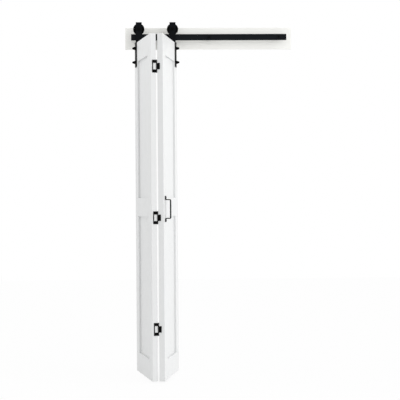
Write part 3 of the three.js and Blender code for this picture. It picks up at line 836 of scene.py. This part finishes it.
def grooved_wheel(sizes):
    """The wheel on Z, with the bearing's lip at its bottom, which is the front."""
    span, bearing = span_of("left_track_wheel"), span_of("left_wheel_bearing")
    half, flange = span.y / 2, span.x / 2
    tread, floor, mouth = sizes.tread / 2, sizes.groove_floor / 2, sizes.groove_mouth / 2
    rim, web, seat = flange - sizes.rim, sizes.web / 2, sizes.seat / 2
    hub, hub_half = sizes.hub / 2, sizes.hub_length / 2
    lip, draft, edge = 9.8 * MM, 1 * MM, 0.8 * MM
    stop = bearing.y / 2 + (seat - bearing.x / 2)
    body = turned("wheel", [
        (seat, -stop), (lip, -stop), (lip, -hub_half), (hub - draft, -hub_half), (hub, -web),
        (rim - draft, -web), (rim, -half), (flange, -half), (flange, -mouth), (tread, -floor),
        (tread, floor), (flange, mouth), (flange, half), (rim, half), (rim - draft, web),
        (hub, web), (hub - draft, hub_half), (seat, hub_half), (seat, -stop),
    ], WHEEL_STEPS)
    return ease(body, edge)


def ball_bearing(sizes):
    """The bearing on Z: two rings and, sunk between them, the shields with their crimped rims."""
    span = span_of("left_wheel_bearing")
    half, outer = span.y / 2, span.x / 2
    bore, wall, depth = sizes.stem / 2 + PLAY, 2 * MM, 0.6 * MM
    inner_ring, outer_ring = bore + wall, outer - wall
    crimp_width, crimp_drop = wall * CRIMP_SHARE, depth * CRIMP_SHARE
    crimp, sunk = outer_ring - crimp_width, half - depth
    upper = [
        (outer_ring, half), (outer_ring, sunk), (crimp, half - crimp_drop), (crimp - crimp_width, sunk),
        (inner_ring, sunk), (inner_ring, half), (bore, half),
    ]
    lower = [(radius, -height) for radius, height in reversed(upper)]
    body = turned("bearing", [*lower, (outer, -half), (outer, half), *upper, (bore, -half)])
    return ease(body, crimp_drop)


def axle_bolt(sizes):
    """The axle bolt on Z, with its head's face at nought and its thread up."""
    low, high = straight_box("left_axle_bolt")
    bearing_low, bearing_high = straight_box("left_wheel_bearing")
    shoulder, stem, inside = sizes.axle / 2, sizes.stem / 2, sizes.bolt_head / 2
    step = bearing_low.y - low.y - PLAY
    thread_start, tail = bearing_high.y - low.y, high.y - low.y
    bolt = turned("axle bolt", [
        (0, inside), (shoulder, inside), (shoulder, step), (stem, step),
        *threaded(stem, thread_start, tail, sizes.thread), (0, tail),
    ])
    head = hexagon(sizes.bolt_flats, 0, sizes.bolt_head)
    # The chamfered face looks away from the thread.
    head.matrix_world = at(0, 0, sizes.bolt_head) @ Matrix.Rotation(math.pi, 4, "X")
    combine(bolt, head, "UNION")
    return ease(bolt, AXLE_EDGE, FINE_EDGE_STEPS)


def axle_nut(sizes):
    """The axle nut on Z from nought up."""
    height = span_of("left_axle_nut").y
    nut = hexagon(sizes.nut_flats, 0, height, chamfer_bottom=True)
    drill(nut, sizes.stem / 2 + PLAY, (0, 0, -OVERRUN), (0, 0, height + OVERRUN))
    return ease(nut, AXLE_EDGE, FINE_EDGE_STEPS)


class BIFOLD_OT_make_wheels(bpy.types.Operator):
    """Make both grooved wheels with their bearings, axle bolts and nuts"""

    bl_idname = "bifold.make_wheels"
    bl_label = "Wheels"

    def execute(self, context):
        sizes = context.scene.bifold_carriage
        wheel, bearing = grooved_wheel(sizes), ball_bearing(sizes)
        bolt, nut = axle_bolt(sizes), axle_nut(sizes)
        for side in SIDES:
            middle = middle_of(f"{side}_track_wheel")
            centre, place = PLACES[f"{side}_wheel"] @ middle, at(*middle) @ TO_WALL
            stand_in(wheel, f"{side}_track_wheel", place, wheel_nylon(side, centre), "nylon")
            stand_in(bearing, f"{side}_wheel_bearing", place, bright_steel(f"bearing {side}", centre))
            for pattern, node in ((bolt, f"{side}_axle_bolt"), (nut, f"{side}_axle_nut")):
                stand_in(pattern, node, from_front(node), hardware_coat())
        put_away(wheel, bearing, bolt, nut)
        return {"FINISHED"}


# Face straps


def face_strap(sizes):
    """The face strap in the panel's straight frame, with its flange over the door's top."""
    low, high = straight_box("left_face_strap")
    middle, flange = low.y + sizes.stock / 2, high.z - sizes.stock / 2
    half = (high.x - low.x) / 2
    route = [(middle, low.z), (middle, flange), (high.y, flange)]
    strap = bent_strip("face strap", 2 * half, sizes.stock, sizes.bend, route)
    round_corners(strap, sizes.corner, x=half, z=low.z)
    reach = sizes.stock + OVERRUN
    for level in PAIR_LEVELS:
        z = middle_of(f"left_{level}_strap_bolt").z
        drill(strap, sizes.shank / 2 + PLAY, (0, middle - reach, z), (0, middle + reach, z))
    drill(strap, sizes.pin_hole / 2, (0, 0, flange - reach), (0, 0, flange + reach))
    return ease(strap, sizes.edge)


def through_bolt(sizes):
    """A round-head bolt on Z, with its end at nought and its head up."""
    span = span_of("left_upper_strap_bolt")
    shank, head, rim = sizes.shank / 2, span.x / 2, 1.2 * MM
    seat = span.y - sizes.head
    bolt = turned("through bolt", [
        (0, 0), (shank, 0), (shank, seat), (head, seat),
        *dome(head, seat + rim, sizes.head - rim),
    ])
    return ease(bolt, sizes.edge)


def cap_nut(sizes):
    """A cap nut on Z: its flange's flat side is at nought and its dome is up."""
    span = span_of("left_upper_cap_nut")
    flange, dome_radius, edge = span.x / 2, sizes.dome / 2, 0.25 * MM
    top = sizes.flange + sizes.hexagon
    nut = turned("cap nut", [
        (0, 0), (flange, 0), (flange, sizes.flange), (dome_radius, sizes.flange),
        *dome(dome_radius, top, span.y - top, CAP_DOME_STEPS),
    ])
    combine(nut, hexagon(sizes.flats, sizes.flange / 2, top), "UNION")
    drill(nut, sizes.shank / 2 + PLAY, (0, 0, -OVERRUN), (0, 0, sizes.bore))
    return ease(nut, edge, FINE_EDGE_STEPS)


class BIFOLD_OT_make_face_straps(bpy.types.Operator):
    """Make both face straps with their through bolts and cap nuts"""

    bl_idname = "bifold.make_face_straps"
    bl_label = "Face straps"

    def execute(self, context):
        sizes = context.scene.bifold_strap
        strap, bolt, nut = face_strap(sizes), through_bolt(sizes), cap_nut(sizes)
        coat = hardware_coat()
        for side in SIDES:
            stand_in(strap, f"{side}_face_strap", IN_PLACE, coat)
            for level in PAIR_LEVELS:
                bolt_node, nut_node = f"{side}_{level}_strap_bolt", f"{side}_{level}_cap_nut"
                stand_in(bolt, bolt_node, from_front(bolt_node), coat)
                stand_in(nut, nut_node, from_back(nut_node), coat)
        put_away(strap, bolt, nut)
        return {"FINISHED"}


# Hinges, each drawn closed with its barrel on Z and its leaves towards the front


class LeafPlan:
    """A leaf's measures from the barrel's line, in its panel's straight frame. Its plate lies on the
    end of the panel's stile and faces away from it along X, one way or the other."""

    def __init__(self, sizes, part, side, away):
        self.part, self.body, self.away = part, f"{side}_panel", away
        self.outward, self.inward = (TO_RIGHT, TO_LEFT) if away > 0 else (TO_LEFT, TO_RIGHT)
        self.axis = PLACES[self.body].inverted() @ Vector(joint("right_panel_fold")["pos_m"])
        stile_low, stile_high = straight_box(f"{side}_hinge_stile")
        stile_end = (stile_high if away > 0 else stile_low).x
        self.inner_face = stile_end - self.axis.x + away * PLAY
        self.outer_face = self.inner_face + away * sizes.stock

        points = straight_points(f"upper_hinge_{part}_leaf")
        front = min(p.y for p in points)
        self.reach = self.axis.y - front
        self.barrel = max(p.y for p in points) - self.axis.y
        self.whole_half = max(p.z for p in points) - middle_of("upper_hinge_pin").z
        heights = [p.z for p in points if p.y < front + LEAF_END]
        self.half = (max(heights) - min(heights)) / 2
        # The screws stand in the middle of the plate's cover on the wood.
        self.screw_y = -(self.reach + self.axis.y - stile_high.y) / 2
        screw = sizes.tab_screws / 2 if part == "tab" else self.half - sizes.knuckle / 2
        self.screw_heights = (-screw, screw)


def sink_hole(sizes, plan, z):
    """A drill for a countersunk hole from a leaf's outer face, along X."""
    deep, hole = (sizes.sink - sizes.screw_hole) / 2, sizes.screw_hole / 2
    cutter = turned("countersink", [
        (0, -OVERRUN), (sizes.sink / 2 + OVERRUN, -OVERRUN), (hole, deep),
        (hole, sizes.stock + OVERRUN), (0, sizes.stock + OVERRUN),
    ], HOLE_STEPS)
    cutter.matrix_world = at(plan.outer_face, plan.screw_y, z) @ plan.inward
    return cutter


def leaf_plate(sizes, plan):
    """A leaf's plate from the barrel's line, with its two far corners round."""
    x0, x1 = sorted((plan.inner_face, plan.outer_face))
    reach, half = plan.reach, plan.half
    plate = block(f"{plan.part} leaf", (x0, -reach, -half), (x1, 0, half))
    round_corners(plate, sizes.corner, LEAF_CORNER_STEPS, y=-reach, z=half)
    return plate


def bore_leaf(leaf, sizes, plan, knuckles):
    """Adds a leaf's knuckles, drills them and the countersunk holes, and eases the edges."""
    for start, end in knuckles:
        combine(leaf, rod(plan.barrel, (0, 0, start), (0, 0, end)), "UNION")
    through = plan.whole_half + OVERRUN
    drill(leaf, sizes.pin / 2 + PLAY, (0, 0, -through), (0, 0, through))
    for z in plan.screw_heights:
        combine(leaf, sink_hole(sizes, plan, z), "DIFFERENCE")
    return ease(leaf, sizes.edge, FINE_EDGE_STEPS)


def frame_leaf(sizes, plan):
    """The leaf with the opening and its two end knuckles, on the left panel's end."""
    leaf = leaf_plate(sizes, plan)
    bar, half, inner = sizes.bar - plan.reach, plan.half, plan.half - sizes.knuckle
    opening = block("opening", (-OVERRUN, bar, -inner), (OVERRUN, OVERRUN, inner))
    round_corners(opening, sizes.corner, LEAF_CORNER_STEPS, y=bar, z=inner)
    combine(leaf, opening, "DIFFERENCE")
    return bore_leaf(leaf, sizes, plan, ((-half, -inner), (inner, half)))


def tab_leaf(sizes, plan):
    """The small leaf that folds into the opening, with the middle knuckle, on the right panel's end."""
    knuckle = (-plan.whole_half, plan.whole_half)
    return bore_leaf(leaf_plate(sizes, plan), sizes, plan, (knuckle,))


def hinge_pin(sizes):
    span = span_of("upper_hinge_pin")
    seat, radius = span.z / 2 - sizes.pin_head, sizes.pin / 2
    upper = [(radius, seat), *low_head(span.x / 2, seat, sizes.pin_head, PIN_DOME_STEPS)]
    lower = [(r, -z) for r, z in reversed(upper)]
    return turned("hinge pin", [*lower, *upper], HOLE_STEPS)


def hinge_screw(sizes):
    """A countersunk screw on Z: its flat top is at nought and its point is down."""
    head, shank = sizes.screw_head / 2, sizes.screw_shank / 2
    screw = turned("hinge screw", [
        (0, 0), (head, 0), (head, -sizes.edge), (shank, shank - head - sizes.edge),
        (shank, -sizes.screw_length + 2 * shank), (0, -sizes.screw_length),
    ], HOLE_STEPS)
    cross_recess(screw, 0)
    return screw


class BIFOLD_OT_make_hinges(bpy.types.Operator):
    """Make the three hinges with their pins and screws"""

    bl_idname = "bifold.make_hinges"
    bl_label = "Hinges"

    def execute(self, context):
        sizes = context.scene.bifold_hinge
        coat = hardware_coat()
        framed, tabbed = LeafPlan(sizes, "frame", "left", 1), LeafPlan(sizes, "tab", "right", -1)
        frame_side, tab_side = frame_leaf(sizes, framed), tab_leaf(sizes, tabbed)
        pin, screw = hinge_pin(sizes), hinge_screw(sizes)
        for level in HINGE_LEVELS:
            z = middle_of(f"{level}_hinge_pin").z
            for pattern, part, plan in (
                (frame_side, "frame_leaf", framed), (pin, "pin", framed), (tab_side, "tab_leaf", tabbed),
            ):
                stand_in(pattern, f"{level}_hinge_{part}", at(plan.axis.x, plan.axis.y, z), coat)
            for plan in (framed, tabbed):
                # A screw's head lies just below its leaf's outer face.
                x = plan.axis.x + plan.outer_face - plan.away * sizes.edge
                for number, height in enumerate(plan.screw_heights, 1):
                    place = at(x, plan.axis.y + plan.screw_y, z + height) @ plan.outward
                    name = f"{level}_hinge_{plan.part}_screw_{number}"
                    fit_copy(screw, name, plan.body, place, coat)
        put_away(frame_side, tab_side, pin, screw)
        return {"FINISHED"}


# Pull


def pull_strip(sizes):
    """The pull, and its place in the right panel's straight frame."""
    low, high = straight_box("pull_handle")
    x, _, z = middle_of("pull_handle")
    foot, grip = high.y - sizes.stock / 2, low.y + sizes.stock / 2
    side, reach, half = (high.x - low.x) / 2, (high.z - low.z) / 2, sizes.span / 2
    strip = bent_strip("pull", 2 * side, sizes.stock, sizes.bend, [
        (foot, reach), (foot, half), (grip, half), (grip, -half), (foot, -half), (foot, -reach),
    ])
    round_corners(strip, sizes.corner, FOOT_CORNER_STEPS, x=side, z=reach)
    for level in PAIR_LEVELS:
        hole_z = middle_of(f"{level}_pull_screw").z - z
        start, end = (0, foot - sizes.stock, hole_z), (0, foot + sizes.stock, hole_z)
        drill(strip, sizes.screw_shank / 2 + PLAY, start, end)
    ease(strip, sizes.edge)
    # The easing leaves a slit of no width at one foot's end.
    bpy.ops.object.mode_set(mode="EDIT")
    close_seams()
    return strip, at(x, 0, z)


def pull_screw(sizes):
    """A pan-head screw on Z: its point is at nought and its head up."""
    span = span_of("upper_pull_screw")
    shank, seat = sizes.screw_shank / 2, span.y - sizes.head
    profile = [(0, 0), (shank, 2 * shank), (shank, seat), *low_head(span.x / 2, seat, sizes.head)]
    screw = turned("pull screw", profile, HOLE_STEPS)
    cross_recess(screw, span.y)
    return screw


class BIFOLD_OT_make_pull(bpy.types.Operator):
    """Make the pull with its two screws"""

    bl_idname = "bifold.make_pull"
    bl_label = "Pull"

    def execute(self, context):
        sizes, coat = context.scene.bifold_pull, hardware_coat()
        strip, place = pull_strip(sizes)
        piece = fit_copy(strip, "pull_strip", "right_panel", place, coat)
        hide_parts("pull_handle")
        screw = pull_screw(sizes)
        for level in PAIR_LEVELS:
            node = f"{level}_pull_screw"
            stand_in(screw, node, from_back(node), coat)
        put_away(strip, screw)
        return {"FINISHED"}


# Woodwork


def clean_board(node, edge):
    """A CAD board's loose triangles, copied and merged into one solid, with its edges eased."""
    board = bpy.data.objects.new(node, frame["nodes"][node].data.copy())
    bpy.context.collection.objects.link(board)
    select_only(board)
    bpy.ops.mesh.customdata_custom_splitnormals_clear()
    edit_all()
    bpy.ops.mesh.remove_doubles(threshold=WELD)
    bpy.ops.mesh.dissolve_limited(angle_limit=FLAT)
    close_seams()
    return ease(board, edge, FINE_EDGE_STEPS)


class BIFOLD_OT_finish_wood(bpy.types.Operator):
    """Ease the edges of the panels and the header board, and paint them"""

    bl_idname = "bifold.finish_wood"
    bl_label = "Woodwork"

    def execute(self, context):
        sizes = context.scene.bifold_wood
        for node in ("header_board", *(f"{side}_{part}" for side in SIDES for part in PANEL_BOARDS)):
            board = clean_board(node, sizes.edge)
            # The header board takes the paint that is set lighter as painted light.
            paint = lightened_board_paint() if node == "header_board" else door_paint()
            # The board is already where it goes, so its body's place is taken back out.
            stand_in(board, node, PLACES[BODY_OF[node]].inverted(), paint, "wood")
            put_away(board)
        return {"FINISHED"}


# Stage


# How far the door hangs above the studio's floor, and that floor's width in metres
FLOOR_GAP = 12 * MM
FLOOR_WIDTH = 16
# Where the camera stands and how it frames the door, matched to the photograph
CAMERA_PLACE = (-0.4214, -6.8941, -1.0600)
CAMERA_TURN = (math.radians(90), math.radians(0.41), math.radians(-1.604))
CAMERA_LENS, CAMERA_SENSOR = 94.32, 36
CAMERA_SHIFT = (0.0635, 0.0005)
# The key light. Its place only keeps it clear of the door in the 3D view.
KEY_PLACE = (3, -3, 2)
KEY_FROM = (0.9, -0.41, 0.17)
KEY_SPREAD = math.radians(60)
KEY_LEVEL = 1.32
# The fill light: a soft lamp high on the left, whose light fades down the panel that the key misses
FILL_PLACE = (-1.5, -0.3, 0.9)
FILL_AIM = (-0.42, -0.28, -0.3)
FILL_WIDTH = 0.8
FILL_POWER = 4.5
# The white of the studio as the camera and gloss see it, and its level as light
WHITE = (1.0, 1.0, 1.0, 1.0)
STUDIO_WHITE = 1.0
STUDIO_LIGHT = 0.817
# The share of the floor that takes light and shadow; the rest shows plain white
FLOOR_SHADE = 0.08


def seen_directly(tree):
    """One for rays from the camera, and those that gloss or glass passes on, and nought for others."""
    path = add_node(tree, "ShaderNodeLightPath")
    seen = path.outputs["Is Camera Ray"]
    for kind in ("Is Glossy Ray", "Is Transmission Ray"):
        seen = add_node(tree, "ShaderNodeMath", {0: seen, 1: path.outputs[kind]}, operation="MAXIMUM")
    return seen


def studio_world():
    world = bpy.data.worlds.new("White studio")
    world.use_nodes = True
    tree = world.node_tree
    tree.nodes.clear()
    inputs = {0: seen_directly(tree), 1: STUDIO_WHITE - STUDIO_LIGHT, 2: STUDIO_LIGHT}
    level = add_node(tree, "ShaderNodeMath", inputs, operation="MULTIPLY_ADD")
    light = add_node(tree, "ShaderNodeBackground", {"Color": WHITE, "Strength": level})
    add_node(tree, "ShaderNodeOutputWorld", {"Surface": light})
    return world


def studio_floor_paint():
    """Matt white studio floor: the camera sees it as white with a faint shadow."""
    material, tree = new_material("Matt floor paint")
    matt = add_node(tree, "ShaderNodeBsdfDiffuse", {"Color": opaque(tones().floor)})
    white = add_node(tree, "ShaderNodeEmission", {"Color": WHITE, "Strength": STUDIO_WHITE})
    inputs = {0: seen_directly(tree), 1: 1 - FLOOR_SHADE}
    share = add_node(tree, "ShaderNodeMath", inputs, operation="MULTIPLY")
    both = add_node(tree, "ShaderNodeMixShader", {0: share, 1: matt, 2: white})
    add_node(tree, "ShaderNodeOutputMaterial", {"Surface": both})
    return material


def add_lamp(kind, name, place, source, energy):
    """A lamp whose light comes from the way that source points."""
    bpy.ops.object.light_add(type=kind, location=place)
    lamp = bpy.context.object
    lamp.name, lamp.data.energy = name, energy
    lamp.rotation_euler = source.to_track_quat("Z", "Y").to_euler()
    return lamp.data


class BIFOLD_OT_set_stage(bpy.types.Operator):
    """Set up the studio: floor, light and camera"""

    bl_idname = "bifold.set_stage"
    bl_label = "Studio"

    def execute(self, context):
        select_only()
        bpy.ops.mesh.primitive_plane_add(size=FLOOR_WIDTH, location=(0, 0, cad_low.z - FLOOR_GAP))
        floor = context.object
        floor.name = "studio_floor"
        floor.data.materials.append(studio_floor_paint())

        key = add_lamp("SUN", "key_light", KEY_PLACE, Vector(KEY_FROM), KEY_LEVEL)
        key.angle = KEY_SPREAD
        fill_from = Vector(FILL_PLACE) - Vector(FILL_AIM)
        fill = add_lamp("AREA", "fill_light", FILL_PLACE, fill_from, FILL_POWER)
        fill.shape, fill.size = "DISK", FILL_WIDTH

        bpy.ops.object.camera_add(location=CAMERA_PLACE, rotation=CAMERA_TURN)
        camera = context.object
        camera.name = "photo_camera"
        camera.data.sensor_width, camera.data.lens = CAMERA_SENSOR, CAMERA_LENS
        camera.data.shift_x, camera.data.shift_y = CAMERA_SHIFT
        context.scene.camera = camera

        context.scene.world = studio_world()
        context.scene.view_settings.view_transform = "Standard"
        return {"FINISHED"}


class BIFOLD_PT_panel(bpy.types.Panel):
    """Lists the steps that make the door"""

    bl_label = "Bifold Closet Door"
    bl_idname = "BIFOLD_PT_panel"
    bl_space_type = "VIEW_3D"
    bl_region_type = "UI"
    bl_category = "Bifold Door"

    def draw(self, context):
        for step in STEPS:
            self.layout.operator(step.bl_idname)
        for group, kind in SETTINGS.items():
            box = self.layout.box()
            for name in kind.__annotations__:
                box.prop(getattr(context.scene, group), name)


STEPS = (
    BIFOLD_OT_set_stage,
    BIFOLD_OT_finish_wood,
    BIFOLD_OT_make_track,
    BIFOLD_OT_make_hangers,
    BIFOLD_OT_make_wheels,
    BIFOLD_OT_make_face_straps,
    BIFOLD_OT_make_hinges,
    BIFOLD_OT_make_pull,
)
SETTINGS = {
    "bifold_wood": BifoldWoodSizes,
    "bifold_track": BifoldTrackSizes,
    "bifold_carriage": BifoldCarriageSizes,
    "bifold_strap": BifoldStrapSizes,
    "bifold_hinge": BifoldHingeSizes,
    "bifold_pull": BifoldPullSizes,
    "bifold_colours": BifoldColours,
}


def register():
    for kind in (*SETTINGS.values(), *STEPS, BIFOLD_PT_panel):
        bpy.utils.register_class(kind)
    for name, kind in SETTINGS.items():
        setattr(bpy.types.Scene, name, bpy.props.PointerProperty(type=kind))


def unregister():
    for name in SETTINGS:
        delattr(bpy.types.Scene, name)
    for kind in reversed((*SETTINGS.values(), *STEPS, BIFOLD_PT_panel)):
        bpy.utils.unregister_class(kind)


def main():
    register()
    for step in STEPS:
        getattr(bpy.ops.bifold, step.bl_idname.partition(".")[2])()


if __name__ == "__main__":
    main()
